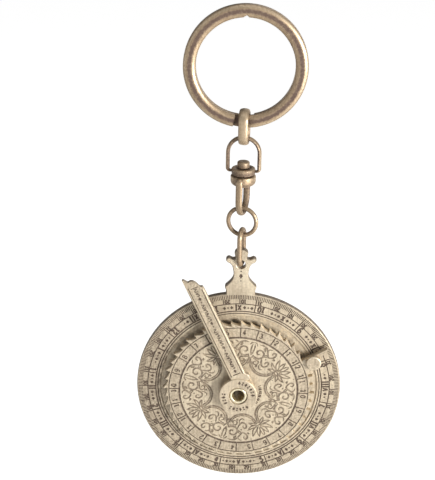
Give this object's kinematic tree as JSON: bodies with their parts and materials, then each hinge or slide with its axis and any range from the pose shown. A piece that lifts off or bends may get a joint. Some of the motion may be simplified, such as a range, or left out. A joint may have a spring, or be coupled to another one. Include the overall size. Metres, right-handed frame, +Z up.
{
  "type": "nocturnal key ring",
  "caption": "Pocket nocturnal (star clock) with calendar plate, toothed hour disc and index arm, hanging from a split ring by a swivel and links.",
  "frame": {"origin": "middle of the split ring's eye, from which the whole instrument hangs", "axes": "+Z up, the dial and its hub face -Y, +X to the viewer's right; stored hanging at rest"},
  "size_m": [0.045, 0.0093, 0.1075],
  "materials": {
    "antique_brass": "antiqued, dark in the engraving, softly brushed on the faces",
    "chain_bronze": "dark antique bronze, rubbed bright on the edges",
    "bright_brass": "polished yellow brass"
  },
  "bodies": {
    "key_ring": {"split_ring": "chain_bronze"},
    "connector": {"connector_link": "chain_bronze"},
    "upper_swivel": {"upper_strap": "chain_bronze", "upper_collar": "chain_bronze"},
    "lower_swivel": {"lower_strap": "chain_bronze", "lower_collar": "chain_bronze", "swivel_rivet": "chain_bronze"},
    "jump_loop": {"jump_ring": "chain_bronze"},
    "throne_loop": {"throne_link": "chain_bronze"},
    "plate": {"base_plate": "antique_brass", "disc_washer": "antique_brass", "arm_washer": "antique_brass", "sight_eyelet": "bright_brass", "back_washer": "antique_brass"},
    "hours": {"hour_disc": "antique_brass", "pointer_knob": "antique_brass"},
    "arm": {"index_arm": "antique_brass"}
  },
  "joints": [
    {"name": "connector_swing", "type": "hinge", "parent": "key_ring", "child": "connector", "pos_m": [0, 0, -0.0114], "axis": [1, 0, 0], "range_deg": [-60, 60]},
    {"name": "swivel_rock", "type": "hinge", "parent": "connector", "child": "upper_swivel", "pos_m": [0, 0, -0.0161], "axis": [0.1045, 0.9945, 0], "range_deg": [-15, 15]},
    {"name": "swivel_spin", "type": "hinge", "parent": "upper_swivel", "child": "lower_swivel", "pos_m": [0, 0, -0.02293], "axis": [0, 0, 1], "continuous": true},
    {"name": "jump_ring_swing", "type": "hinge", "parent": "lower_swivel", "child": "jump_loop", "pos_m": [0, 0, -0.03152], "axis": [0.2419, 0.9703, 0], "range_deg": [-50, 50]},
    {"name": "throne_link_swing", "type": "hinge", "parent": "jump_loop", "child": "throne_loop", "pos_m": [0, 0, -0.03654], "axis": [0.9703, -0.2419, 0], "range_deg": [-70, 70]},
    {"name": "instrument_swing", "type": "hinge", "parent": "throne_loop", "child": "plate", "pos_m": [0, 0, -0.04301], "axis": [0, 1, 0], "range_deg": [-45, 45]},
    {"name": "hour_disc_turn", "type": "hinge", "parent": "plate", "child": "hours", "pos_m": [0, 0, -0.07225], "axis": [0, -1, 0], "continuous": true},
    {"name": "index_arm_turn", "type": "hinge", "parent": "plate", "child": "arm", "pos_m": [0, 0, -0.07225], "axis": [0, -1, 0], "continuous": true}
  ]
}
